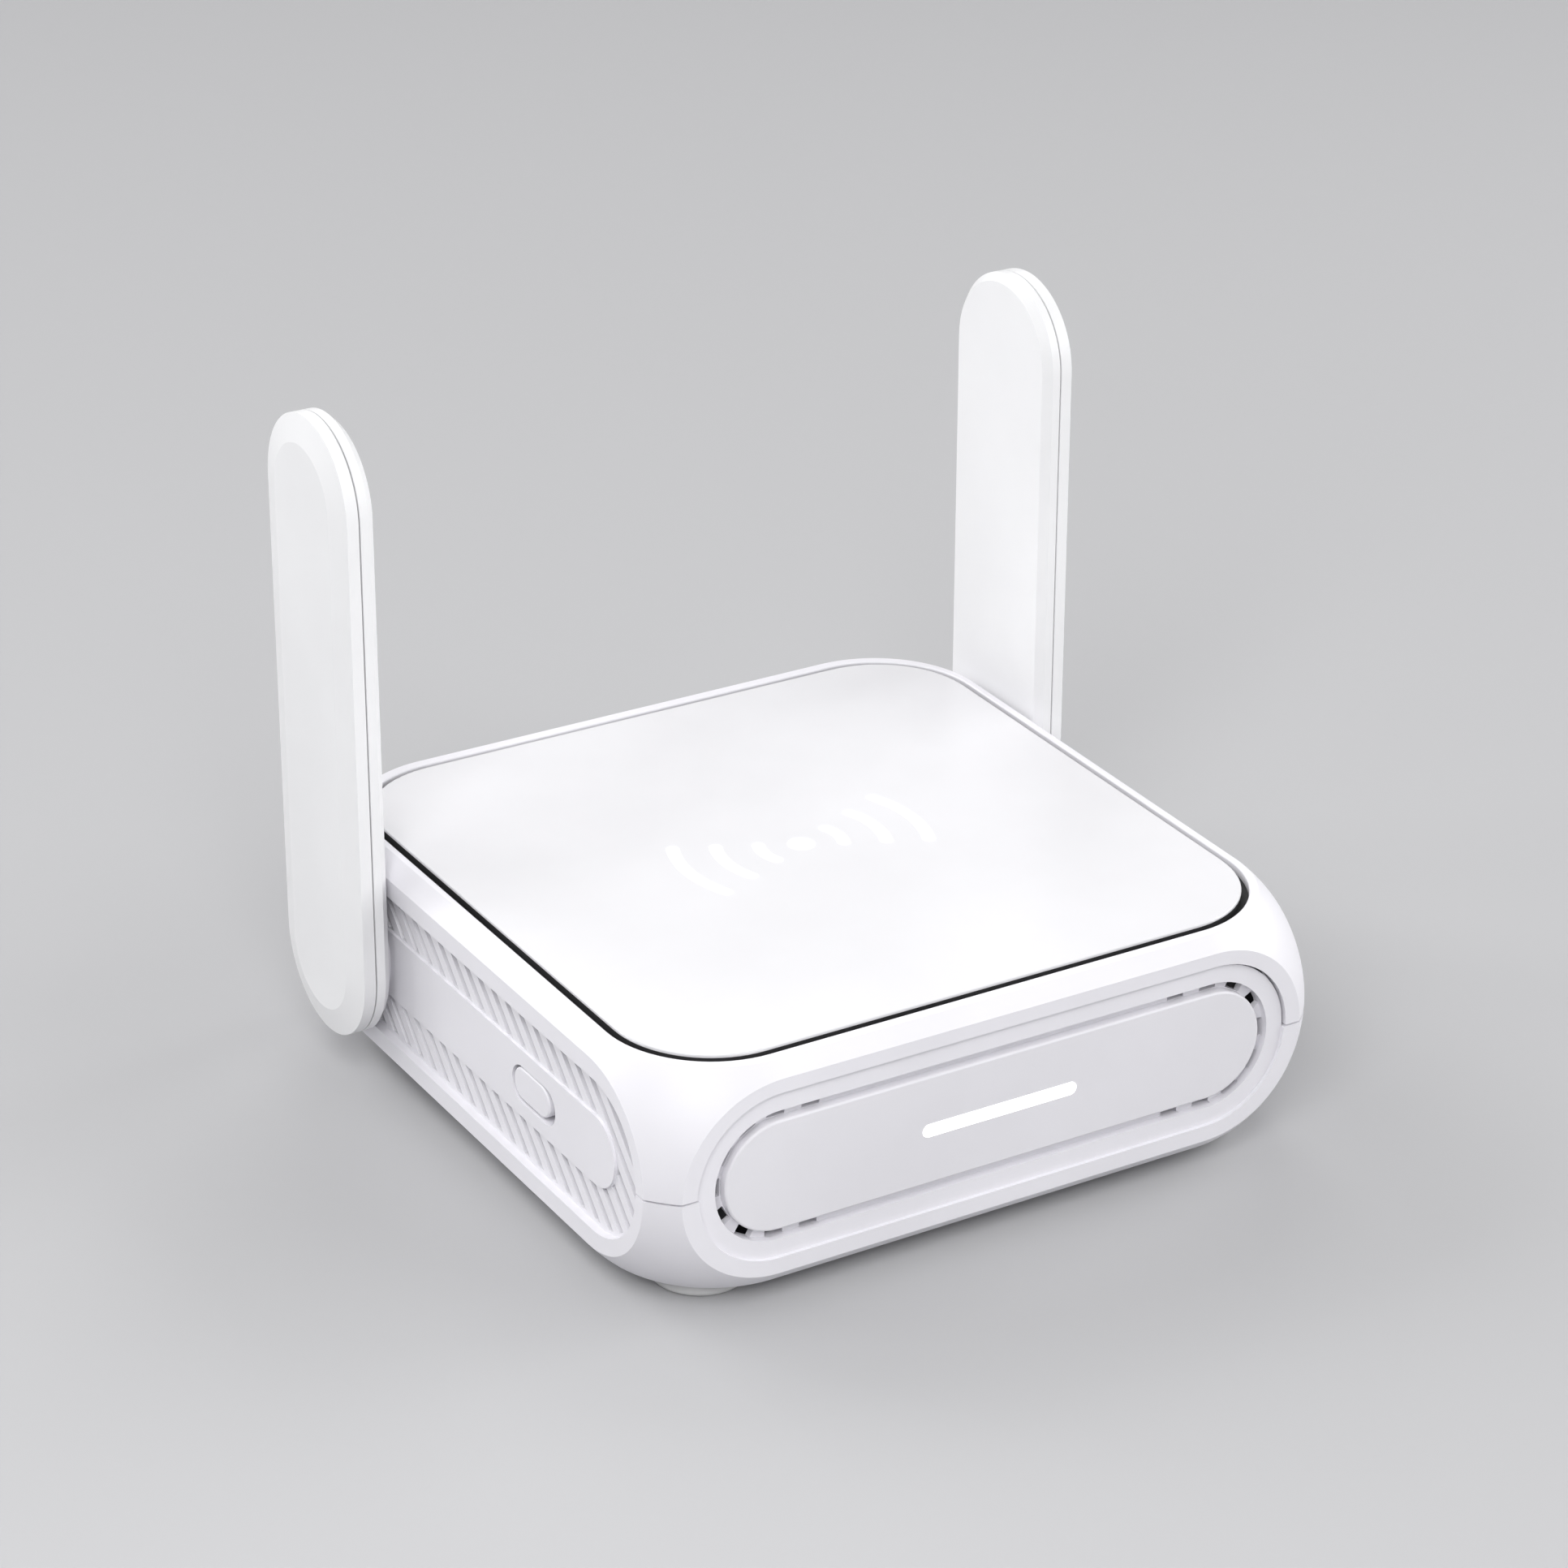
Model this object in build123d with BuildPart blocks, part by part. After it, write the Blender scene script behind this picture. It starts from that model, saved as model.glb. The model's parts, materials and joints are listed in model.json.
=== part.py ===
"""Desktop wifi range extender: a cushion-shaped two-shell housing with two fold-down paddle antennas.

Millimetres. +Z is up, the front with its light bar faces -Y, and +X is the right side seen from the front.
The origin is the middle of the footprint, at the underside of the rubber feet.
"""
import math
import os

from build123d import *

os.makedirs("parts", exist_ok=True)

# ---- housing ----
FLAT_X = 52.7        # centre to the flat side faces
FLAT_Y = 51.6        # centre to the flat front and rear faces
STRAIGHT_X = 34.2    # half of the straight stretch of the front and rear stadiums
STRAIGHT_Y = 33.4    # the same on the two sides
EDGE_R = 22.75       # radius of the bulging upright profile
CORNER_R = 23.5      # plan radius of the bulging corners at mid height
HALF_H = 16.6        # mid height to the rim, and to the base
FOOT_H = 2.6         # what the feet stand proud of the base
WALL = 1.8
SEAM = 0.3           # visible parting gap between the two shells
MID = FOOT_H + HALF_H
BASE_TOP = FOOT_H + WALL
CEILING = MID + 13.4
SHELL_TOP = MID + HALF_H
LIP_H = 1.6

# ---- top plate ----
PLATE_X, PLATE_Y, PLATE_R = 48.4, 47.0, 14.2
PLATE_GAP = 1.1
PLATE_T = 1.9
PLATE_TOP = MID + 16.8
PLATE_FLOOR = PLATE_TOP - PLATE_T
PLATE_EDGE_T = 0.4   # the visible edge of the plate; the seal wraps what is below it
SEAL_WALL, SEAL_FOOT_H = 0.5, 0.4
MARK_DEPTH = 0.3
MARK_DOT, MARK_STROKE = 2.0, 2.0
MARK_ARCS = (6.0, 12.0, 18.0)
MARK_SPREAD = 48     # degrees covered by each arc

# ---- front and rear stadium panels ----
ARCH_R = 12.4        # seam radius of the panels carried by the lower shell
PANEL_R = ARCH_R - SEAM / 2
PANEL_T = 3.4
RECESS_DEPTH = 0.55
GROOVE_R, GROOVE_DEPTH = 9.65, 1.8
RELIEF_DEPTH = 2.8   # back of the thin wall that carries the front vents
FRONT_R = 8.2        # end radius of the front plate
FRONT_NEAR, FRONT_FAR = 0.4, 2.4
FIT = 0.15
VENT_LONG, VENT_HIGH = 2.7, 1.4
VENT_STEP = 30       # degrees between vents round each end
BAR_HALF, BAR_R = 12.2, 0.95
REAR_DEPTH = 0.8
FLANGE_R = ARCH_R + 0.6
PEG_X = (-18.5, 18.5)
PEG_R = 1.7

# ---- louvred side panels ----
LOUVRE_HALF, LOUVRE_R = 34.6, 11.4
LOUVRE_DEPTH, LOUVRE_FAR = 1.25, 3.25
STRIP_HALF, STRIP_R, STRIP_DEPTH = 33.8, 5.13, 0.85
SLOT_W, SLOT_PITCH, SLOT_PHASE = 1.15, 3.86, 42.3

# ---- antennas and hinges ----
HINGE_Y = 32.2
LEAN = 1.6           # degrees that the raised antennas lean back
PADDLE_R = 12.0
PADDLE_NEAR, PADDLE_SEAM, PADDLE_FAR = 53.7, 56.2, 59.0
PADDLE_STRAIGHT = 68.0
PADDLE_WALL = 1.2
INNER_CHAMFER = 1.1
BEVEL_WIDE, BEVEL_DEEP = 3.9, 0.95
HUB_R, HUB_T = 7.0, 0.7
BARREL_R, BARREL_BORE, BARREL_END = 3.6, 1.5, 45.4
BUSH_CLEAR = 0.05
BUSH_END = 48.2
CLIP_FACE, CLIP_T, CLIP_R = 47.0, 0.7, 5.4
COAX_R = 0.6

# ---- side switch ----
SWITCH_Y, SWITCH_Z = -17.1, MID - 0.15
POCKET_LONG, POCKET_HIGH = 12.0, 5.6
KNOB_LONG, KNOB_HIGH = 9.8, 4.8
KNOB_BACK_GAP = 0.35

# ---- main board ----
BOARD_TOP = MID - 7.4
BOARD_T = 1.6
BOARD_X, BOARD_Y = 43.0, 42.0
NOTCH = 10.0
BOSS_X, BOSS_Y = 39.3, 39.5
STANDOFFS = [(-37, -20), (37, -20), (-37, 18), (37, 18)]
SINK_PINS = [(-24.9, 13), (12.9, -21)]

# ---- ports: centre along X, with sizes across, high and deep ----
PORT_FACE = FLAT_Y - REAR_DEPTH - 0.1
JACK_X = {"wan_jack": 25.2, "lan_jack": 7.4}
JACK_W, JACK_H, JACK_L = 16.0, 13.4, 20.0
USB_A_X, USB_A_W, USB_A_H, USB_A_L = -10.2, 14.5, 7.0, 17.0
USB_C_X, USB_C_W, USB_C_H, USB_C_L = -25.5, 9.0, 3.3, 8.0
RESET_X, RESET_Z, RESET_R = -33.4, BOARD_TOP + 2.4, 1.3
FOOT_R, FOOT_SUNK = 6.8, 0.6

BULGE_X, BULGE_Y = STRAIGHT_X + CORNER_R, STRAIGHT_Y + CORNER_R


def finish(builder, name):
    """Label a finished piece and write it."""
    builder.part.label = name
    export_step(builder.part, f"parts/{name}.step")


def finish_leaning(builder, name):
    """Write a piece of an antenna, leaned back about its hinge."""
    leaned = builder.part.rotate(Axis((0, HINGE_Y, MID), (1, 0, 0)), -LEAN)
    leaned.label = name
    export_step(leaned, f"parts/{name}.step")


def housing(inset, low, high):
    """The bulging block with four flat faces, between two heights, every face moved in by inset."""
    radius = EDGE_R - inset
    with BuildPart() as cushion:
        with BuildSketch(Plane.XY.offset(MID - 1)):
            RectangleRounded(2 * (BULGE_X - inset), 2 * (BULGE_Y - inset), CORNER_R - inset)
        extrude(amount=radius + 1)
        fillet(cushion.faces().sort_by(Axis.Z)[-1].edges(), radius)
        split(bisect_by=Plane.XY.offset(MID), keep=Keep.TOP)
        mirror(about=Plane.XY.offset(MID))
        with Locations((0, 0, (low + high) / 2)):
            Box(2 * (FLAT_X - inset), 2 * (FLAT_Y - inset), high - low, mode=Mode.INTERSECT)
    return cushion.part


def face_plane(side, depth=0.0):
    """Plane on a flat face, pushed in by depth: local X runs along the face and local Y is up."""
    out_x, out_y = {"front": (0, -1), "rear": (0, 1), "left": (-1, 0), "right": (1, 0)}[side]
    reach = (FLAT_Y if out_x == 0 else FLAT_X) - depth
    return Plane(origin=(out_x * reach, out_y * reach, MID), x_dir=(-out_y, out_x, 0), z_dir=(out_x, out_y, 0))


def stadium(side, straight, radius, near, far, mode=Mode.ADD):
    """Stadium-shaped block standing in from a flat face, between two depths."""
    with BuildSketch(face_plane(side, near)) as outline:
        SlotCenterToCenter(2 * straight, 2 * radius)
    extrude(outline.sketch, amount=near - far, mode=mode)


def block(centre, size, mode=Mode.ADD):
    """Plain box by its centre and size."""
    with Locations(centre):
        Box(*size, mode=mode)


def post(x, y, low, high, radius, mode=Mode.ADD):
    """Upright cylinder between two heights."""
    with Locations((x, y, (low + high) / 2)):
        Cylinder(radius, high - low, mode=mode)


def rod_x(y, z, x_a, x_b, radius, mode=Mode.ADD):
    """Cylinder along X between two stations."""
    with Locations(Location(((x_a + x_b) / 2, y, z), (0, 90, 0))):
        Cylinder(radius, abs(x_b - x_a), mode=mode)


def rod_y(x, z, y_a, y_b, radius, mode=Mode.ADD):
    """Cylinder along Y between two stations."""
    with Locations(Location((x, (y_a + y_b) / 2, z), (90, 0, 0))):
        Cylinder(radius, abs(y_b - y_a), mode=mode)


def plate_outline(grow, mode=Mode.ADD):
    """Outline of the top plate, grown or shrunk all round."""
    RectangleRounded(2 * (PLATE_X + grow), 2 * (PLATE_Y + grow), PLATE_R + grow, mode=mode)


def hand(side):
    """-1 on the left, +1 on the right."""
    return -1 if side == "left" else 1


CORNERS = [(sx * BOSS_X, sy * BOSS_Y) for sx in (-1, 1) for sy in (-1, 1)]


# ---- louvre slots: slanted bars that run down and forward, kept off the strip and the hinge seat ----
def louvre_cutter(side):
    """Slanted slots through one side panel."""
    lean = 45 if side == "left" else -45
    forward = 1 if side == "left" else -1
    count = int(2 * (LOUVRE_HALF + 2 * LOUVRE_R) / SLOT_PITCH)
    starts = [SLOT_PHASE + 2 * SLOT_PITCH - n * SLOT_PITCH for n in range(count)]
    bars = Sketch() + [Pos(forward * start, 0) * Rectangle(SLOT_W, 60, rotation=lean) for start in starts]
    with BuildPart() as cutter:
        with BuildSketch(face_plane(side, LOUVRE_DEPTH - 0.2)):
            SlotCenterToCenter(2 * LOUVRE_HALF, 2 * (LOUVRE_R - 0.5))
            SlotCenterToCenter(2 * STRIP_HALF, 2 * (STRIP_R + 0.15), mode=Mode.SUBTRACT)
            with Locations((-forward * HINGE_Y, 0)):
                Circle(HUB_R + 1.4, mode=Mode.SUBTRACT)
            add(bars, mode=Mode.INTERSECT)
        extrude(amount=-(LOUVRE_FAR - LOUVRE_DEPTH + 0.4))
    return cutter.part


slots_left, slots_right = louvre_cutter("left"), louvre_cutter("right")

# ---- lower shell, with the four stadium panels standing on it ----
lower_outside = housing(0, FOOT_H, MID - SEAM / 2)
lower_cavity = housing(WALL, BASE_TOP, MID + 1)
lip_outside = housing(WALL / 2 + 0.05, MID - 2, MID + LIP_H)
lip_inside = housing(WALL, MID - 3, MID + LIP_H + 1)
arches = [("front", STRAIGHT_X, ARCH_R + SEAM / 2), ("rear", STRAIGHT_X, ARCH_R + SEAM / 2),
          ("left", LOUVRE_HALF, LOUVRE_R), ("right", LOUVRE_HALF, LOUVRE_R)]

with BuildPart() as lip_ring:
    add(lip_outside)
    add(lip_inside, mode=Mode.SUBTRACT)
    for side, straight, radius in arches:
        stadium(side, straight, radius + 0.6, -1, 6, mode=Mode.SUBTRACT)

with BuildPart() as bottom_shell:
    add(lower_outside)
    add(lower_cavity, mode=Mode.SUBTRACT)
    add(lip_ring.part)
    stadium("rear", STRAIGHT_X, ARCH_R + SEAM / 2, -1, 6, mode=Mode.SUBTRACT)
    stadium("front", STRAIGHT_X, PANEL_R, RECESS_DEPTH, PANEL_T)
    for side in ("left", "right"):
        stadium(side, LOUVRE_HALF, LOUVRE_R - 0.15, 0, LOUVRE_FAR)
        stadium(side, LOUVRE_HALF, LOUVRE_R, -1, LOUVRE_DEPTH, mode=Mode.SUBTRACT)
        stadium(side, STRIP_HALF, STRIP_R, STRIP_DEPTH, LOUVRE_DEPTH + 0.1)
        outward = hand(side)
        rod_x(HINGE_Y, MID, outward * FLAT_X, outward * BUSH_END, HUB_R + 0.8)
    for outward in (-1, 1):
        rod_x(HINGE_Y, MID, outward * (FLAT_X + 1), outward * (BUSH_END - 1), BARREL_R + BUSH_CLEAR, Mode.SUBTRACT)
    # switch pocket through the left strip
    with BuildSketch(Plane(origin=(-FLAT_X - 1, SWITCH_Y, SWITCH_Z), x_dir=(0, -1, 0), z_dir=(-1, 0, 0))) as pocket:
        SlotOverall(POCKET_LONG, POCKET_HIGH)
    extrude(pocket.sketch, amount=-(LOUVRE_FAR + 2), mode=Mode.SUBTRACT)
    # front: flat recess, groove, plate pocket, thinned wall behind the groove, and light window
    stadium("front", STRAIGHT_X, PANEL_R, -1, RECESS_DEPTH, mode=Mode.SUBTRACT)
    stadium("front", STRAIGHT_X, GROOVE_R, -1, GROOVE_DEPTH, mode=Mode.SUBTRACT)
    stadium("front", STRAIGHT_X, FRONT_R + 0.02, -1, FRONT_FAR, mode=Mode.SUBTRACT)
    stadium("front", STRAIGHT_X, GROOVE_R + 0.75, RELIEF_DEPTH, PANEL_T + 1, mode=Mode.SUBTRACT)
    stadium("front", STRAIGHT_X, FRONT_R + 0.05, RELIEF_DEPTH - 0.1, PANEL_T)
    stadium("front", BAR_HALF - BAR_R, BAR_R + FIT / 2, -1, PANEL_T + 1, mode=Mode.SUBTRACT)
    # base: foot pockets, screw bosses, board standoffs, lamp pegs, air slots and label recess
    for x, y in CORNERS:
        post(x, y, BASE_TOP - 0.5, BOARD_TOP - BOARD_T, 4.2)
        post(x, y, FOOT_H - 1, FOOT_H + FOOT_SUNK, FOOT_R + 0.1, Mode.SUBTRACT)
        post(x, y, FOOT_H, 5.6, 2.9, Mode.SUBTRACT)
        post(x, y, FOOT_H, BOARD_TOP, 1.6, Mode.SUBTRACT)
    for x, y in STANDOFFS:
        post(x, y, BASE_TOP - 0.5, BOARD_TOP - BOARD_T, 2.6)
        post(x, y, BASE_TOP + 0.6, BOARD_TOP, 0.9, Mode.SUBTRACT)
    for x in PEG_X:
        rod_y(x, MID, -(FLAT_Y - PANEL_T + 0.3), -(FLAT_Y - 7.4), 1.0)
        rod_y(x, MID, -(FLAT_Y - PANEL_T + 0.3), -(FLAT_Y - 5.6), PEG_R)
    with Locations((0, -34, FOOT_H), (0, 36, FOOT_H)):
        with GridLocations(5, 1, 9, 1):
            Box(2.2, 9, 3 * WALL, mode=Mode.SUBTRACT)
    block((0, 2, FOOT_H), (54, 34, 0.6), Mode.SUBTRACT)
    # air: slots round both ends of the front plate, and the louvres
    vent_r = (FRONT_R + GROOVE_R) / 2 + 0.05
    vent_straight = STRAIGHT_X - 5.3
    with BuildSketch(face_plane("front", GROOVE_DEPTH - 0.5)) as vents:
        for end in (-1, 1):
            with Locations((end * vent_straight, vent_r), (end * vent_straight, -vent_r)):
                Rectangle(VENT_LONG, VENT_HIGH)
            with Locations((end * STRAIGHT_X, 0)):
                for step in range(7):
                    with PolarLocations(vent_r, 1, start_angle=90 - end * VENT_STEP * step):
                        Rectangle(VENT_HIGH, VENT_LONG)
    extrude(vents.sketch, amount=-(PANEL_T - GROOVE_DEPTH + 1), mode=Mode.SUBTRACT)
    add(slots_left, mode=Mode.SUBTRACT)
    add(slots_right, mode=Mode.SUBTRACT)
finish(bottom_shell, "bottom_shell")

# ---- rear panel: set back a little, held by its flange behind the two shells, with the port openings ----
with BuildPart() as rear_panel:
    stadium("rear", STRAIGHT_X, PANEL_R, REAR_DEPTH, PANEL_T)
    stadium("rear", STRAIGHT_X, FLANGE_R, WALL + 0.1, PANEL_T)
    for x in JACK_X.values():
        block((x, FLAT_Y, BOARD_TOP + JACK_H / 2), (JACK_W + 2 * FIT, 12, JACK_H + 2 * FIT), Mode.SUBTRACT)
    block((USB_A_X, FLAT_Y, BOARD_TOP + USB_A_H / 2), (USB_A_W + 2 * FIT, 12, USB_A_H + 2 * FIT), Mode.SUBTRACT)
    with BuildSketch(Plane(origin=(USB_C_X, FLAT_Y + 1, BOARD_TOP + USB_C_H / 2), x_dir=(-1, 0, 0),
                           z_dir=(0, 1, 0))) as inlet:
        SlotOverall(USB_C_W + 2 * FIT, USB_C_H + 2 * FIT)
    extrude(inlet.sketch, amount=-8, mode=Mode.SUBTRACT)
    rod_y(RESET_X, RESET_Z, FLAT_Y + 1, FLAT_Y - 6, RESET_R + 0.3, Mode.SUBTRACT)
finish(rear_panel, "rear_panel")

# ---- upper shell ----
upper_outside = housing(0, MID + SEAM / 2, SHELL_TOP)
upper_cavity = housing(WALL, MID - 1, CEILING)
lip_rebate = housing(WALL / 2 - 0.05, MID - 1, MID + LIP_H + 0.1)

with BuildPart() as top_shell:
    add(upper_outside)
    add(upper_cavity, mode=Mode.SUBTRACT)
    with BuildSketch(Plane.XY.offset(PLATE_FLOOR)):
        plate_outline(PLATE_GAP)
    extrude(amount=PLATE_T + 1, mode=Mode.SUBTRACT)
    rim_edges = top_shell.faces().sort_by(Axis.Z)[-1].edges()
    fillet(rim_edges, 0.25)
    add(lip_rebate, mode=Mode.SUBTRACT)
    for side, straight, radius in arches:
        stadium(side, straight, radius, -2, 6, mode=Mode.SUBTRACT)
    for x, y in CORNERS:
        post(x, y, BOARD_TOP - BOARD_T, CEILING + 0.5, 3.2)
        post(x, y, BOARD_TOP - BOARD_T - 1, MID + 6, 1.2, Mode.SUBTRACT)
    with Locations((0, 0, CEILING - 1)):
        with GridLocations(30, 1, 2, 1):
            Box(1.2, 60, 2.4)
    with Locations((0, 0, CEILING - 0.8)):
        with GridLocations(1, 30, 1, 2):
            Box(70, 1.2, 2.0)
finish(top_shell, "top_shell")

# ---- top plate, its dark seal in the gap and a plain radio-wave mark ----
with BuildPart() as top_mark:
    with BuildSketch(Plane.XY.offset(PLATE_TOP - MARK_DEPTH)):
        Circle(MARK_DOT)
        for radius in MARK_ARCS:
            for middle in (0, 180):
                with BuildLine():
                    CenterArc((0, 0), radius, middle - MARK_SPREAD / 2, MARK_SPREAD)
                    offset(amount=MARK_STROKE / 2, side=Side.BOTH)
                make_face()
    extrude(amount=MARK_DEPTH)
finish(top_mark, "top_mark")


with BuildPart() as top_plate:
    with BuildSketch(Plane.XY.offset(PLATE_TOP - PLATE_EDGE_T)):
        plate_outline(0)
    extrude(amount=PLATE_EDGE_T)
    fillet(top_plate.faces().sort_by(Axis.Z)[-1].edges(), 0.2)
    with BuildSketch(Plane.XY.offset(PLATE_FLOOR)):
        plate_outline(-SEAL_WALL)
    extrude(amount=PLATE_T - PLATE_EDGE_T)
    add(top_mark.part, mode=Mode.SUBTRACT)
finish(top_plate, "top_plate")

with BuildPart() as top_gasket:
    with BuildSketch(Plane.XY.offset(PLATE_FLOOR)):
        plate_outline(PLATE_GAP)
        plate_outline(-SEAL_WALL, Mode.SUBTRACT)
    extrude(amount=SEAL_FOOT_H)
    with BuildSketch(Plane.XY.offset(PLATE_FLOOR)):
        plate_outline(-0.05)
        plate_outline(-SEAL_WALL, Mode.SUBTRACT)
    extrude(amount=PLATE_T - PLATE_EDGE_T)
finish(top_gasket, "top_gasket")

# ---- front plate, light bar and its lamp board ----
with BuildPart() as front_plate:
    stadium("front", STRAIGHT_X, FRONT_R, FRONT_NEAR, FRONT_FAR)
    fillet(front_plate.faces().sort_by(Axis.Y)[0].edges(), 0.35)
    stadium("front", BAR_HALF - BAR_R, BAR_R + 0.03, -1, FRONT_FAR + 1, mode=Mode.SUBTRACT)
finish(front_plate, "front_plate")

with BuildPart() as light_bar:
    stadium("front", BAR_HALF - BAR_R, BAR_R, FRONT_NEAR - 0.05, 4.4)
    stadium("front", BAR_HALF - BAR_R, 2.6, PANEL_T, 4.4)
finish(light_bar, "light_bar")

# black carrier on the pegs: keeps the lamps' light off the air slots
CARRIER_R, CARRIER_NEAR, CARRIER_FAR, CARRIER_WINDOW_R = 10.6, 4.6, 5.4, 2.4
with BuildPart() as lamp_carrier:
    stadium("front", STRAIGHT_X, CARRIER_R, CARRIER_NEAR, CARRIER_FAR)
    stadium("front", BAR_HALF - BAR_R, CARRIER_WINDOW_R, CARRIER_NEAR - 1, CARRIER_FAR + 1, mode=Mode.SUBTRACT)
    for x in PEG_X:
        rod_y(x, MID, -FLAT_Y, -(FLAT_Y - 9), PEG_R + 0.05, Mode.SUBTRACT)
finish(lamp_carrier, "lamp_carrier")

LAMP_NEAR, LAMP_FAR = 5.6, 6.6
with BuildPart() as led_board:
    block((0, -(FLAT_Y - (LAMP_NEAR + LAMP_FAR) / 2), MID), (42, LAMP_FAR - LAMP_NEAR, 8))
    for x in PEG_X:
        rod_y(x, MID, -FLAT_Y, -(FLAT_Y - 9), 1.03, Mode.SUBTRACT)
finish(led_board, "led_board")

with BuildPart() as status_leds:
    with Locations((0, -(FLAT_Y - LAMP_NEAR + 0.35), MID)):
        with GridLocations(8, 1, 3, 1):
            Box(3.0, 0.7, 1.6)
finish(status_leds, "status_leds")

with BuildPart() as led_ribbon:
    ribbon_y = -(FLAT_Y - LAMP_FAR)
    with BuildSketch(Plane.YZ.offset(-4)):
        with BuildLine():
            Polyline((ribbon_y, MID - 1.5), (ribbon_y + 0.3, MID - 1.5), (ribbon_y + 0.3, BOARD_TOP + 2.6),
                     (ribbon_y + 6.5, BOARD_TOP + 0.3), (ribbon_y + 9.5, BOARD_TOP + 0.3),
                     (ribbon_y + 9.5, BOARD_TOP), (ribbon_y + 6.4, BOARD_TOP), (ribbon_y, BOARD_TOP + 2.4),
                     close=True)
        make_face()
    extrude(amount=8)
finish(led_ribbon, "led_ribbon")

# ---- main board and what is soldered to it ----
with BuildPart() as main_board:
    with BuildSketch(Plane.XY.offset(BOARD_TOP - BOARD_T)):
        Rectangle(2 * BOARD_X, 2 * (BOARD_Y - NOTCH))
        Rectangle(2 * (BOARD_X - NOTCH + 0.4), 2 * BOARD_Y)
        with Locations(*STANDOFFS):
            Circle(1.5, mode=Mode.SUBTRACT)
        with Locations(*SINK_PINS):
            Circle(1.0, mode=Mode.SUBTRACT)
    extrude(amount=BOARD_T)
finish(main_board, "main_board")

with BuildPart() as board_screws:
    for x, y in STANDOFFS:
        post(x, y, BOARD_TOP, BOARD_TOP + 1.5, 2.4)
        post(x, y, BOARD_TOP + 0.8, BOARD_TOP + 1.6, 0.8, Mode.SUBTRACT)
        post(x, y, BASE_TOP + 0.8, BOARD_TOP, 0.9)
finish(board_screws, "board_screws")

with BuildPart() as processor_shield:
    block((-6, -4, BOARD_TOP + 1.2), (34, 30, 2.4))
    fillet(processor_shield.edges().filter_by(Axis.Z), 1.0)
    block((-6, -4, BOARD_TOP + 1.1), (33.4, 29.4, 2.2), Mode.SUBTRACT)
finish(processor_shield, "processor_shield")

with BuildPart() as processor:
    block((-6, -4, BOARD_TOP + 0.8), (17, 17, 1.6))
finish(processor, "processor")

with BuildPart() as radio_shield:
    block((25, -5, BOARD_TOP + 1.2), (20, 20, 2.4))
    fillet(radio_shield.edges().filter_by(Axis.Z), 1.0)
    block((25, -5, BOARD_TOP + 1.1), (19.4, 19.4, 2.2), Mode.SUBTRACT)
finish(radio_shield, "radio_shield")

with BuildPart() as thermal_pad:
    block((-6, -4, BOARD_TOP + 2.9), (26, 24, 1.0))
finish(thermal_pad, "thermal_pad")

with BuildPart() as heat_sink:
    block((-6, -4, BOARD_TOP + 4.4), (44, 38, 2.0))
    with Locations((-6, -4, BOARD_TOP + 5.4 + 3.5)):
        with GridLocations(4.2, 1, 11, 1):
            Box(1.2, 38, 7.0)
    for x, y in SINK_PINS:
        post(x, y, BOARD_TOP + 3, BOARD_TOP + 6, 1.0, Mode.SUBTRACT)
finish(heat_sink, "heat_sink")

with BuildPart() as heat_sink_pins:
    for x, y in SINK_PINS:
        post(x, y, BOARD_TOP - BOARD_T - 1.2, BOARD_TOP + 5.4, 1.0)
        post(x, y, BOARD_TOP + 5.4, BOARD_TOP + 6.6, 1.4)
finish(heat_sink_pins, "heat_sink_pins")

with BuildPart() as memory_chips:
    with Locations((-33, -6, BOARD_TOP + 0.6), (-33, 8, BOARD_TOP + 0.6)):
        Box(9, 11, 1.2)
    block((-20, -29, BOARD_TOP + 0.6), (8, 6, 1.2))
finish(memory_chips, "memory_chips")

with BuildPart() as line_transformers:
    for x in JACK_X.values():
        block((x, 22, BOARD_TOP + 1.9), (12.5, 9.5, 3.8))
finish(line_transformers, "line_transformers")

with BuildPart() as filter_capacitors:
    for x, y in ((-24, 30), (-24, 24), (-18, 24)):
        post(x, y, BOARD_TOP, BOARD_TOP + 5.2, 2.5)
finish(filter_capacitors, "filter_capacitors")

with BuildPart() as power_coils:
    with Locations((-33, 24, BOARD_TOP + 1.4), (-10, 26, BOARD_TOP + 1.4)):
        Box(6, 6, 2.8)
    chamfer(power_coils.edges().filter_by(Axis.Z), 1.0)
finish(power_coils, "power_coils")


# ---- network jacks: metal shield, moulded insert and spring contacts ----
def jack_opening(x, mode):
    """Socket a network plug goes into: the main cavity, the latch groove above it and its deep slot."""
    block((x, PORT_FACE - 7, BOARD_TOP + 5.2), (11.8, 14.2, 7.0), mode)
    block((x, PORT_FACE - 7, BOARD_TOP + 9.4), (6.2, 14.2, 1.6), mode)
    block((x, PORT_FACE - 7, BOARD_TOP + 10.8), (3.4, 14.2, 1.6), mode)


for name, x in JACK_X.items():
    with BuildPart() as jack_shield:
        block((x, PORT_FACE - JACK_L / 2, BOARD_TOP + JACK_H / 2), (JACK_W, JACK_L, JACK_H))
        block((x, PORT_FACE - JACK_L / 2 + 0.3, BOARD_TOP + JACK_H / 2 - 0.15),
              (JACK_W - 0.6, JACK_L, JACK_H - 0.3), Mode.SUBTRACT)
    finish(jack_shield, f"{name}_shield")
    with BuildPart() as jack_insert:
        block((x, PORT_FACE - JACK_L / 2, BOARD_TOP + JACK_H / 2 - 0.15), (JACK_W - 0.6, JACK_L - 0.6, JACK_H - 0.3))
        jack_opening(x, Mode.SUBTRACT)
    finish(jack_insert, f"{name}_insert")

with BuildPart() as jack_contacts:
    for x in JACK_X.values():
        with Locations((x, PORT_FACE - 9, BOARD_TOP + 2.0)):
            with GridLocations(1.02, 1, 8, 1):
                Box(0.45, 9, 0.6)
finish(jack_contacts, "jack_contacts")

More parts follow.
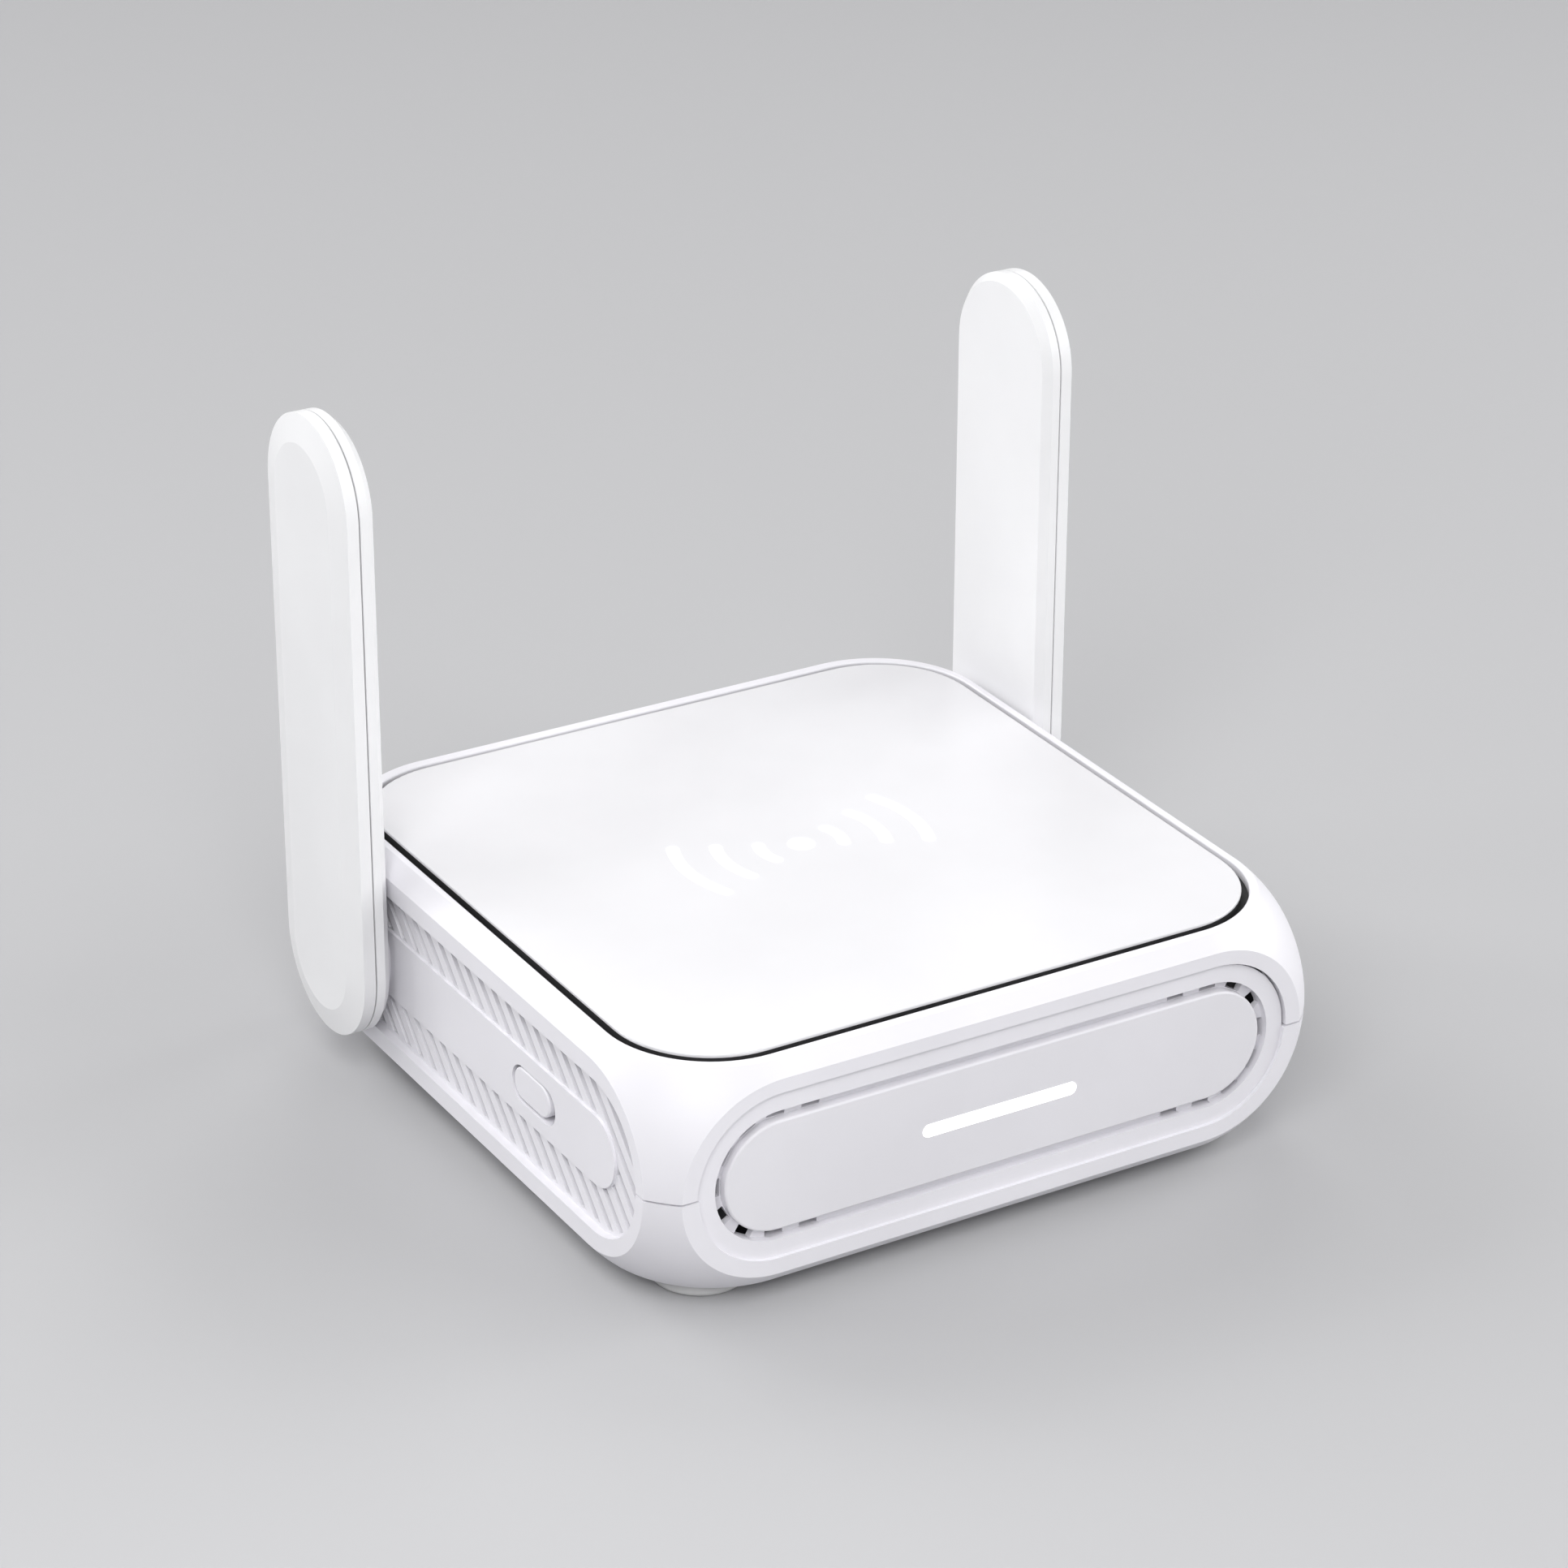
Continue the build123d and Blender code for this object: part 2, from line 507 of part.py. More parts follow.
# ---- usb sockets ----
with BuildPart() as usb_a_shell:
    centre_z = BOARD_TOP + USB_A_H / 2
    block((USB_A_X, PORT_FACE - USB_A_L / 2, centre_z), (USB_A_W, USB_A_L, USB_A_H))
    block((USB_A_X, PORT_FACE - USB_A_L / 2 + 0.5, centre_z), (USB_A_W - 0.7, USB_A_L, USB_A_H - 0.7), Mode.SUBTRACT)
finish(usb_a_shell, "usb_a_shell")

with BuildPart() as usb_a_tongue:
    block((USB_A_X, PORT_FACE - USB_A_L + 2.0, centre_z), (USB_A_W - 0.7, 3.0, USB_A_H - 0.7))
    block((USB_A_X, PORT_FACE - 8.5, centre_z + 1.3), (11.2, 14.0, 1.9))
finish(usb_a_tongue, "usb_a_tongue")

with BuildPart() as usb_a_contacts:
    with Locations((USB_A_X, PORT_FACE - 8, centre_z + 0.25)):
        with GridLocations(2.2, 1, 4, 1):
            Box(1.1, 9, 0.2)
finish(usb_a_contacts, "usb_a_contacts")

USB_C_MID = BOARD_TOP + USB_C_H / 2
with BuildPart() as usb_c_shell:
    with BuildSketch(Plane(origin=(USB_C_X, PORT_FACE, USB_C_MID), x_dir=(-1, 0, 0), z_dir=(0, 1, 0))) as wall:
        SlotOverall(USB_C_W, USB_C_H)
    extrude(wall.sketch, amount=-USB_C_L)
    with BuildSketch(Plane(origin=(USB_C_X, PORT_FACE, USB_C_MID), x_dir=(-1, 0, 0), z_dir=(0, 1, 0))) as hole:
        SlotOverall(USB_C_W - 0.7, USB_C_H - 0.7)
    extrude(hole.sketch, amount=-(USB_C_L - 1), mode=Mode.SUBTRACT)
finish(usb_c_shell, "usb_c_shell")

with BuildPart() as usb_c_tongue:
    block((USB_C_X, PORT_FACE - USB_C_L / 2 + 0.1, USB_C_MID), (6.7, USB_C_L - 1.8, 0.7))
finish(usb_c_tongue, "usb_c_tongue")

# ---- side switch: knob in the left strip, lever and switch body on the board ----
KNOB_Y = SWITCH_Y + POCKET_LONG / 2 - KNOB_BACK_GAP - KNOB_LONG / 2
LEVER_Z = BOARD_TOP + 1.8
with BuildPart() as mode_switch_knob:
    knob_plane = Plane(origin=(-(FLAT_X - STRIP_DEPTH - 0.1), KNOB_Y, SWITCH_Z), x_dir=(0, -1, 0), z_dir=(-1, 0, 0))
    with BuildSketch(knob_plane) as cap:
        SlotOverall(KNOB_LONG, KNOB_HIGH)
    extrude(cap.sketch, amount=-2.7)
    fillet(mode_switch_knob.faces().sort_by(Axis.X)[0].edges(), 0.3)
    block((-48.6, KNOB_Y, SWITCH_Z), (1.1, 13.4, 8.0))
    block((-48.6, KNOB_Y, LEVER_Z), (1.1, 4.0, 3.2))
    block((-48.6, KNOB_Y, LEVER_Z), (1.3, 1.6, 1.2), Mode.SUBTRACT)
finish(mode_switch_knob, "mode_switch_knob")

with BuildPart() as mode_switch_lever:
    block((-45.75, KNOB_Y, LEVER_Z), (6.8, 1.6, 1.2))
finish(mode_switch_lever, "mode_switch_lever")

with BuildPart() as mode_switch_body:
    block((-41.3, SWITCH_Y, BOARD_TOP + 1.8), (3.6, 9.4, 3.6))
    block((-42.7, SWITCH_Y, LEVER_Z), (1.8, 5.4, 2.0), Mode.SUBTRACT)
finish(mode_switch_body, "mode_switch_body")

# ---- recessed reset button behind the rear panel ----
RESET_FACE = FLAT_Y - REAR_DEPTH - 0.6
RESET_SWITCH_Y = 31.4
with BuildPart() as reset_button:
    rod_y(RESET_X, RESET_Z, RESET_FACE, FLAT_Y - PANEL_T - 0.4, RESET_R)
    rod_y(RESET_X, RESET_Z, FLAT_Y - PANEL_T - 0.4, FLAT_Y - PANEL_T - 1.6, 2.0)
    rod_y(RESET_X, RESET_Z, FLAT_Y - PANEL_T - 1.6, RESET_SWITCH_Y + 2.6, 0.9)
finish(reset_button, "reset_button")

with BuildPart() as reset_switch:
    block((RESET_X, RESET_SWITCH_Y - 2.0, BOARD_TOP + 1.9), (5.0, 4.0, 3.8))
    rod_y(RESET_X, RESET_Z, RESET_SWITCH_Y - 0.1, RESET_SWITCH_Y + 1.6, 1.1)
finish(reset_switch, "reset_switch")


# ---- antennas ----
def paddle(side, inset, near, far, mode=Mode.ADD):
    """Upright antenna outline, a stadium standing on the hinge, between two stations along X."""
    outward = hand(side)
    foot = Plane(origin=(outward * near, HINGE_Y, MID), x_dir=(0, 0, 1), z_dir=(outward, 0, 0))
    with BuildSketch(foot) as outline:
        with Locations((PADDLE_STRAIGHT / 2, 0)):
            SlotCenterToCenter(PADDLE_STRAIGHT, 2 * (PADDLE_R - inset))
    extrude(outline.sketch, amount=far - near, mode=mode)


for side in ("left", "right"):
    outward = hand(side)
    inner_wall = PADDLE_NEAR + PADDLE_WALL
    outer_wall = PADDLE_FAR - PADDLE_WALL
    with BuildPart() as inner_shell:
        paddle(side, 0, PADDLE_NEAR, PADDLE_SEAM - 0.12)
        chamfer(inner_shell.faces().sort_by(Axis.X)[0 if side == "right" else -1].edges(), INNER_CHAMFER)
        paddle(side, PADDLE_WALL, inner_wall, PADDLE_SEAM + 1, Mode.SUBTRACT)
        paddle(side, PADDLE_WALL, PADDLE_SEAM - 0.5, PADDLE_SEAM + 0.9)
        paddle(side, PADDLE_WALL + 0.6, inner_wall, PADDLE_SEAM + 1, Mode.SUBTRACT)
        rod_x(HINGE_Y, MID, outward * PADDLE_NEAR, outward * (PADDLE_NEAR - HUB_T), HUB_R)
        rod_x(HINGE_Y, MID, outward * (inner_wall - 0.2), outward * BARREL_END, BARREL_R)
        for rise in (22, 60):
            rod_x(HINGE_Y, MID + rise, outward * (inner_wall - 0.2), outward * (inner_wall + 1.0), 1.6)
        rod_x(HINGE_Y, MID, outward * (inner_wall + 1), outward * (BARREL_END - 1), BARREL_BORE, Mode.SUBTRACT)
        with BuildSketch(Plane(origin=(outward * CLIP_FACE, HINGE_Y, MID), z_dir=(outward, 0, 0))) as groove:
            Circle(BARREL_R + 1)
            Circle(BARREL_R - 0.6, mode=Mode.SUBTRACT)
        extrude(groove.sketch, amount=-CLIP_T, mode=Mode.SUBTRACT)
    finish_leaning(inner_shell, f"{side}_antenna_inner_shell")

    with BuildPart() as outer_shell:
        paddle(side, 0, PADDLE_SEAM + 0.12, PADDLE_FAR)
        outer_face = outer_shell.faces().sort_by(Axis.X)[-1 if side == "right" else 0]
        chamfer(outer_face.edges(), BEVEL_WIDE, BEVEL_DEEP, reference=outer_face)
        paddle(side, PADDLE_WALL, PADDLE_SEAM, outer_wall, Mode.SUBTRACT)
    finish_leaning(outer_shell, f"{side}_antenna_outer_shell")

    with BuildPart() as radiator:
        block((outward * (inner_wall + 1.4), HINGE_Y, MID + 41), (0.8, 14, 58))
        for rise in (-1, 1):
            rod_x(HINGE_Y, MID + 41 + rise * 19, outward * inner_wall, outward * (inner_wall + 3), 0.8, Mode.SUBTRACT)
    finish_leaning(radiator, f"{side}_antenna_board")

    # feed inside the paddle: out of the barrel's bore and up to the foot of the radiator
    feed_x = inner_wall + 1.5
    with BuildPart() as feed:
        with BuildLine() as feed_path:
            FilletPolyline((outward * 52.6, HINGE_Y, MID), (outward * feed_x, HINGE_Y, MID),
                           (outward * feed_x, HINGE_Y, MID + 11.8), radius=1.7)
        with BuildSketch(Plane(origin=feed_path.line @ 0, z_dir=feed_path.line % 0)):
            Circle(COAX_R)
        sweep(path=feed_path.line)
    finish_leaning(feed, f"{side}_antenna_feed")

    # spring clip that holds the barrel in the housing, open on one side
    with BuildPart() as clip:
        with BuildSketch(Plane(origin=(outward * CLIP_FACE, HINGE_Y, MID), z_dir=(outward, 0, 0))) as ring:
            Circle(CLIP_R)
            Circle(BARREL_R - 0.6, mode=Mode.SUBTRACT)
        extrude(ring.sketch, amount=-CLIP_T)
        block((outward * (CLIP_FACE - CLIP_T / 2), HINGE_Y, MID - 5), (2, 4.4, 8), Mode.SUBTRACT)
    finish_leaning(clip, f"{side}_hinge_clip")

    # wave washer between the bush and the clip
    with BuildPart() as washer:
        with BuildSketch(Plane(origin=(outward * BUSH_END, HINGE_Y, MID), z_dir=(outward, 0, 0))) as ring:
            Circle(6.4)
            Circle(BARREL_R + 0.3, mode=Mode.SUBTRACT)
        extrude(ring.sketch, amount=-0.9)
    finish(washer, f"{side}_hinge_washer")

    # lead from the hinge to its socket on the board
    route = [(outward * 51.8, HINGE_Y, MID), (outward * 42.6, HINGE_Y, MID),
             (outward * 36.6, HINGE_Y - 8, MID - 2.2), (outward * 34.4, 14.6, MID - 5.2),
             (outward * 34.2, 9.4, BOARD_TOP + 1.5)]
    if side == "left":
        route = route[:3] + [(-38.6, 15.6, MID - 5.0), (-39.4, 9.4, BOARD_TOP + 1.5)]
    points = [Vector(*point) for point in route]
    radii = []
    for before, corner, after in zip(points, points[1:], points[2:]):
        turn = (corner - before).get_angle(after - corner)
        run = min((corner - before).length, (after - corner).length)
        radii.append(0.45 * run / math.tan(math.radians(turn / 2)))
    print(side, "antenna cable radii", [round(radius, 1) for radius in radii])
    with BuildPart() as cable:
        with BuildLine() as cable_path:
            FilletPolyline(*points, radius=radii)
        with BuildSketch(Plane(origin=cable_path.line @ 0, z_dir=cable_path.line % 0)):
            Circle(COAX_R)
        sweep(path=cable_path.line)
    finish(cable, f"{side}_antenna_cable")

# ---- board sockets for the two antenna cables ----
SOCKET_AT = [(-39.4, 8.2), (34.2, 8.2)]
with BuildPart() as antenna_sockets:
    for x, y in SOCKET_AT:
        block((x, y, BOARD_TOP + 0.4), (3.0, 3.0, 0.8))
        post(x, y, BOARD_TOP + 0.8, BOARD_TOP + 2.2, 1.2)
finish(antenna_sockets, "antenna_sockets")

# ---- fasteners, feet and label plate ----
with BuildPart() as case_screws:
    for x, y in CORNERS:
        post(x, y, 3.6, 5.6, 2.6)
        post(x, y, 5.6, MID + 4, 1.2)
        post(x, y, 3.0, 4.8, 1.0, Mode.SUBTRACT)
finish(case_screws, "case_screws")

with BuildPart() as rubber_feet:
    for x, y in CORNERS:
        post(x, y, 0, FOOT_H + FOOT_SUNK, FOOT_R)
    fillet(rubber_feet.faces().group_by(Axis.Z)[0].edges(), 0.7)
finish(rubber_feet, "rubber_feet")

with BuildPart() as base_label:
    block((0, 2, FOOT_H + 0.175), (53.6, 33.6, 0.25))
finish(base_label, "base_label")
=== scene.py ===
import json
import math

import bmesh
import bpy
from mathutils import Matrix, Vector


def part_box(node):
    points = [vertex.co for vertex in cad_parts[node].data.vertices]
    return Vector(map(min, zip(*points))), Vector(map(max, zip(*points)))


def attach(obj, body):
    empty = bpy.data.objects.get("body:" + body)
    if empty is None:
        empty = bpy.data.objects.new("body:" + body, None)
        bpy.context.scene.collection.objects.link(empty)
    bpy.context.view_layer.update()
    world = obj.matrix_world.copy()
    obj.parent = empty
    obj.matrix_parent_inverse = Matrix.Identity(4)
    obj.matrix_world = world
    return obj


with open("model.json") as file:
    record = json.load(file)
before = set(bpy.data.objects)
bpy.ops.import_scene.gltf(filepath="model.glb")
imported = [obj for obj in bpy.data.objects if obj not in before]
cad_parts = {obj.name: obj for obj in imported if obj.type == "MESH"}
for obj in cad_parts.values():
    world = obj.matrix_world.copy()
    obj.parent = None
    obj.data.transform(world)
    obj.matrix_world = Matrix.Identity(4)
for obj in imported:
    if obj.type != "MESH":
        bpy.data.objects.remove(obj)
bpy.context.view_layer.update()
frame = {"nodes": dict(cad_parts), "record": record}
nodes = frame["nodes"]
scene = bpy.context.scene

MM = 0.001

# ---- camera: the photograph's viewpoint, in metres ----
EYE = Vector((-0.31285, -0.50009, 0.33682))
AIM = Vector((-0.00216, 0.00134, 0.04524))
LENS_MM, SENSOR_MM = 109.12, 36.0
ROLL = math.radians(1.09)


# ---------------------------------------------------------------- materials
def material(name):
    """New node material: returns it, its node tree and its shader."""
    made = bpy.data.materials.new(name)
    made.use_nodes = True
    shader = made.node_tree.nodes["Principled BSDF"]
    return made, made.node_tree, shader


def noise(tree, scale, detail):
    """Noise over object coordinates."""
    coords = tree.nodes.new("ShaderNodeTexCoord")
    texture = tree.nodes.new("ShaderNodeTexNoise")
    texture.inputs["Scale"].default_value = scale
    texture.inputs["Detail"].default_value = detail
    texture.inputs["Roughness"].default_value = 0.55
    tree.links.new(coords.outputs["Object"], texture.inputs["Vector"])
    return texture


def ramp(tree, source, low, high):
    """Colour that goes from low to high over the middle of source's range."""
    node = tree.nodes.new("ShaderNodeValToRGB")
    first, last = node.color_ramp.elements
    first.position, last.position = 0.35, 0.65
    first.color, last.color = (*low, 1.0), (*high, 1.0)
    tree.links.new(source, node.inputs["Fac"])
    return node


def grey(value):
    return (value, value, value)


def bump(tree, shader, source, strength, distance):
    """Fine relief from a texture."""
    node = tree.nodes.new("ShaderNodeBump")
    node.inputs["Strength"].default_value = strength
    node.inputs["Distance"].default_value = distance
    tree.links.new(source, node.inputs["Height"])
    tree.links.new(node.outputs["Normal"], shader.inputs["Normal"])


def plastic(name, colour, rough, coat=0.0, tint=0.02, relief=0.05, grain=900.0):
    """Moulded plastic or rubber: faint uneven colour, uneven gloss and a fine spark-eroded grain."""
    made, tree, shader = material(name)
    cloud = noise(tree, 35.0, 3.0)
    low = tuple(max(0.0, c * (1 - tint)) for c in colour)
    high = tuple(min(1.0, c * (1 + tint)) for c in colour)
    tone = ramp(tree, cloud.outputs["Fac"], low, high)
    tree.links.new(tone.outputs["Color"], shader.inputs["Base Color"])
    gloss = ramp(tree, cloud.outputs["Fac"], grey(rough * 0.9), grey(min(1.0, rough * 1.1)))
    tree.links.new(gloss.outputs["Color"], shader.inputs["Roughness"])
    shader.inputs["Coat Weight"].default_value = coat
    shader.inputs["Coat Roughness"].default_value = 0.12
    fine = noise(tree, grain, 2.0)
    bump(tree, shader, fine.outputs["Fac"], relief, 0.00004)
    return made


def metal(name, colour, rough, stretch=(1, 1, 1)):
    """Sheet or turned metal with fine drawn lines and uneven tarnish."""
    made, tree, shader = material(name)
    shader.inputs["Metallic"].default_value = 1.0
    coords = tree.nodes.new("ShaderNodeTexCoord")
    mapping = tree.nodes.new("ShaderNodeMapping")
    mapping.inputs["Scale"].default_value = stretch
    lines = tree.nodes.new("ShaderNodeTexNoise")
    lines.inputs["Scale"].default_value = 1500.0
    tree.links.new(coords.outputs["Object"], mapping.inputs["Vector"])
    tree.links.new(mapping.outputs["Vector"], lines.inputs["Vector"])
    patch = noise(tree, 120.0, 3.0)
    tone = ramp(tree, patch.outputs["Fac"], tuple(c * 0.88 for c in colour), colour)
    tree.links.new(tone.outputs["Color"], shader.inputs["Base Color"])
    gloss = ramp(tree, lines.outputs["Fac"], grey(rough * 0.8), grey(min(1.0, rough * 1.25)))
    tree.links.new(gloss.outputs["Color"], shader.inputs["Roughness"])
    bump(tree, shader, lines.outputs["Fac"], 0.05, 0.00003)
    return made


def board_laminate(name):
    """Green solder mask with faint copper runs showing under it."""
    made, tree, shader = material(name)
    coords = tree.nodes.new("ShaderNodeTexCoord")
    runs = tree.nodes.new("ShaderNodeTexBrick")
    runs.inputs["Scale"].default_value = 260.0
    runs.inputs["Mortar Size"].default_value = 0.035
    runs.inputs["Color1"].default_value = (0.010, 0.115, 0.045, 1)
    runs.inputs["Color2"].default_value = (0.014, 0.135, 0.052, 1)
    runs.inputs["Mortar"].default_value = (0.035, 0.230, 0.085, 1)
    tree.links.new(coords.outputs["Object"], runs.inputs["Vector"])
    tree.links.new(runs.outputs["Color"], shader.inputs["Base Color"])
    shader.inputs["Roughness"].default_value = 0.33
    bump(tree, shader, runs.outputs["Fac"], 0.12, 0.00003)
    return made


def glow(name, colour, strength):
    """Lit milky plastic, very slightly uneven."""
    made, tree, shader = material(name)
    cloud = noise(tree, 60.0, 2.0)
    tone = ramp(tree, cloud.outputs["Fac"], tuple(c * 0.97 for c in colour), colour)
    tree.links.new(tone.outputs["Color"], shader.inputs["Base Color"])
    tree.links.new(tone.outputs["Color"], shader.inputs["Emission Color"])
    shader.inputs["Emission Strength"].default_value = strength
    shader.inputs["Roughness"].default_value = 0.35
    return made


WHITE = (0.762, 0.752, 0.790)
MATERIALS = {
    "shell_white": plastic("shell_white", WHITE, 0.42),
    "plate_white": plastic("plate_white", (0.70, 0.695, 0.715), 0.34, relief=0.02),
    "mark_white": plastic("mark_white", (0.95, 0.95, 0.95), 0.18, coat=0.6, relief=0.0),
    # seal_black is partly the seal's own colour and partly painted shade: it darkens the ring at the bottom
    # of the gap round the top plate so the gap reads as deep shadow
    "seal_black": plastic("seal_black", (0.012, 0.012, 0.013), 0.6, tint=0.2, relief=0.3),
    "light_diffuser": glow("light_diffuser", (1.0, 1.0, 1.0), 1.2),
    "led_body": glow("led_body", (1.0, 0.97, 0.86), 3.0),
    "board_green": board_laminate("board_green"),
    "ribbon": plastic("ribbon_amber", (0.62, 0.33, 0.07), 0.35, tint=0.08, relief=0.1),
    "screw_steel": metal("screw_steel", (0.58, 0.58, 0.60), 0.30),
    "shield_tin": metal("shield_tin", (0.70, 0.70, 0.70), 0.32, stretch=(1, 12, 1)),
    "chip_black": plastic("chip_black", (0.022, 0.022, 0.024), 0.55, tint=0.15, relief=0.3),
    "pad_grey": plastic("pad_grey", (0.30, 0.35, 0.42), 0.8, tint=0.1, relief=0.5),
    "sink_aluminium": metal("sink_aluminium", (0.74, 0.75, 0.76), 0.36, stretch=(1, 14, 1)),
    "black_plastic": plastic("black_plastic", (0.020, 0.020, 0.022), 0.42, tint=0.15, relief=0.2),
    "contact_gold": metal("contact_gold", (0.90, 0.68, 0.30), 0.24),
    "capacitor_can": metal("capacitor_can", (0.64, 0.65, 0.68), 0.30),
    "coil_grey": plastic("coil_grey", (0.10, 0.10, 0.11), 0.7, tint=0.15, relief=0.5),
    "spring_steel": metal("spring_steel", (0.48, 0.48, 0.50), 0.28),
    "coax_black": plastic("coax_black", (0.018, 0.018, 0.018), 0.5, tint=0.2, relief=0.2),
    "foot_rubber": plastic("foot_rubber", (0.62, 0.62, 0.62), 0.75, tint=0.08, relief=0.6,
                           grain=1400.0),
    "label_silver": metal("label_silver", (0.76, 0.76, 0.77), 0.45),
}

# nodes with their own copy of the white: the front plate's is a little darker and bluer; the antennas' is
# lighter, painted light for their brightly lit faces
TONE_OVERRIDES = {"front_plate": plastic("front_white", (0.725, 0.716, 0.750), 0.40)}
# lighter copy of the shell's white for the antennas: painted light that brightens their faces as strong
# light would
ANTENNA_PAINTED_LIGHT_WHITE = plastic("antenna_white_painted_light", (0.795, 0.795, 0.805), 0.42)
for side in ("left", "right"):
    TONE_OVERRIDES[f"{side}_antenna_inner_shell"] = ANTENNA_PAINTED_LIGHT_WHITE
    TONE_OVERRIDES[f"{side}_antenna_outer_shell"] = ANTENNA_PAINTED_LIGHT_WHITE

# edges sharper than this many degrees stay crisp; the antennas' outer shells have shallow crisp bevels
CREASE_FROM = 24
SHALLOW_CREASE = {"left_antenna_outer_shell": 11, "right_antenna_outer_shell": 11}

slot_of = {entry["node"]: entry["material_slot"] for entry in frame["record"]["subparts"]}
for name, node in nodes.items():
    finish = TONE_OVERRIDES.get(name) or MATERIALS[slot_of[name]]
    if not node.material_slots:
        node.data.materials.append(finish)
    for place in node.material_slots:
        place.material = finish
    node.data.polygons.foreach_set("use_smooth", [True] * len(node.data.polygons))
    crease = node.modifiers.new("crease", "EDGE_SPLIT")
    crease.split_angle = math.radians(SHALLOW_CREASE.get(name, CREASE_FROM))


# ---------------------------------------------------------------- printed signs round the rear ports
def add_mesh(name, mesh, finish):
    """Link a finished mesh as a piece that rides on the housing."""
    mesh.materials.clear()
    mesh.materials.append(finish)
    piece = bpy.data.objects.new(name, mesh)
    scene.collection.objects.link(piece)
    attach(piece, "housing")


def ring(radius, start=0, stop=360, width=1.0):
    """Arc in mm and whether it closes; width below 1 squeezes it across into an ellipse."""
    closed = stop - start == 360
    count = round(32 * (stop - start) / 360)
    turns = [math.radians(start + (stop - start) * n / count) for n in range(count if closed else count + 1)]
    return [(radius * width * math.cos(a), radius * math.sin(a)) for a in turns], closed


def rectangle(across, up, wide, high):
    """Closed rectangle in mm about a point."""
    corners = ((-1, -1), (1, -1), (1, 1), (-1, 1))
    return [(across + sx * wide / 2, up + sz * high / 2) for sx, sz in corners], True


def line(*points):
    """Open line through points in mm."""
    return list(points), False


STROKE = 0.26      # line width of the signs, in mm
INK = 0.02         # thickness of the print
RIM_SUNK = 0.1     # the jacks' rims lie this far behind the panel's face


def sign(name, centre_x, centre_z, lines):
    """Printed line sign on the face of the rear panel: round strokes squeezed to the thickness of ink."""
    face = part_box("wan_jack_shield")[1].y + RIM_SUNK * MM
    curve = bpy.data.curves.new(name, "CURVE")
    curve.dimensions = "3D"
    curve.bevel_depth = STROKE / 2 * MM
    curve.bevel_resolution = 2
    curve.use_fill_caps = True
    for points, closed in lines:
        spline = curve.splines.new("POLY")
        spline.points.add(len(points) - 1)
        for point, (across, up) in zip(spline.points, points):
            point.co = (centre_x - across * MM, face, centre_z + up * MM, 1)
        spline.use_cyclic_u = closed
    drawn = bpy.data.objects.new(name, curve)
    scene.collection.objects.link(drawn)
    bpy.context.view_layer.update()
    mesh = bpy.data.meshes.new_from_object(drawn.evaluated_get(bpy.context.evaluated_depsgraph_get()))
    bpy.data.objects.remove(drawn)
    for vertex in mesh.vertices:
        vertex.co.y = face + (vertex.co.y - face) * 2 * INK / STROKE
    add_mesh(name, mesh, SIGN_INK)


SIGN_INK = plastic("sign_ink", (0.30, 0.31, 0.33), 0.5, tint=0.06, relief=0.1)
# piece: (port below it, gap above the port in mm, lines)
SIGNS = {
    "sign_wide_network": ("wan_jack_shield", 2.6, [
        ring(1.35), ring(1.35, width=0.45), line((-1.35, 0), (1.35, 0)), line((0, -1.35), (0, 1.35))]),
    "sign_local_network": ("lan_jack_shield", 2.6, [
        rectangle(0, 0.95, 0.9, 0.7), rectangle(-1.2, -0.95, 0.9, 0.7), rectangle(1.2, -0.95, 0.9, 0.7),
        line((0, 0.6), (0, 0)), line((-1.2, -0.6), (-1.2, 0), (1.2, 0), (1.2, -0.6))]),
    "sign_storage": ("usb_a_shell", 2.6, [rectangle(-0.5, 0, 2.2, 1.3), rectangle(1.15, 0, 0.9, 0.8)]),
    "sign_power": ("usb_c_shell", 2.4, [
        line((-1.2, 0.45), (1.2, 0.45)), line((-1.2, -0.25), (-0.7, -0.25)),
        line((-0.25, -0.25), (0.25, -0.25)), line((0.7, -0.25), (1.2, -0.25))]),
    "sign_restart": ("reset_button", 2.4, [
        ring(0.95, 60, 350), line((0.25, 1.35), (0.55, 0.8), (-0.05, 0.55))]),
}
for name, (port, gap, lines) in SIGNS.items():
    port_low, port_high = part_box(port)
    sign(name, (port_low.x + port_high.x) / 2, port_high.z + gap * MM, lines)


# ---------------------------------------------------------------- lamps in the network jacks
def rounded_bar(name, low, high, radius, finish):
    """Small moulded block with rounded edges."""
    shape = bmesh.new()
    bmesh.ops.create_cube(shape, size=1.0)
    for vertex in shape.verts:
        vertex.co = Vector(b if c > 0 else a for a, b, c in zip(low, high, vertex.co))
    bmesh.ops.bevel(shape, geom=shape.edges[:], offset=radius, segments=3, affect="EDGES", profile=0.5)
    mesh = bpy.data.meshes.new(name)
    shape.to_mesh(mesh)
    shape.free()
    mesh.polygons.foreach_set("use_smooth", [True] * len(mesh.polygons))
    add_mesh(name, mesh, finish)


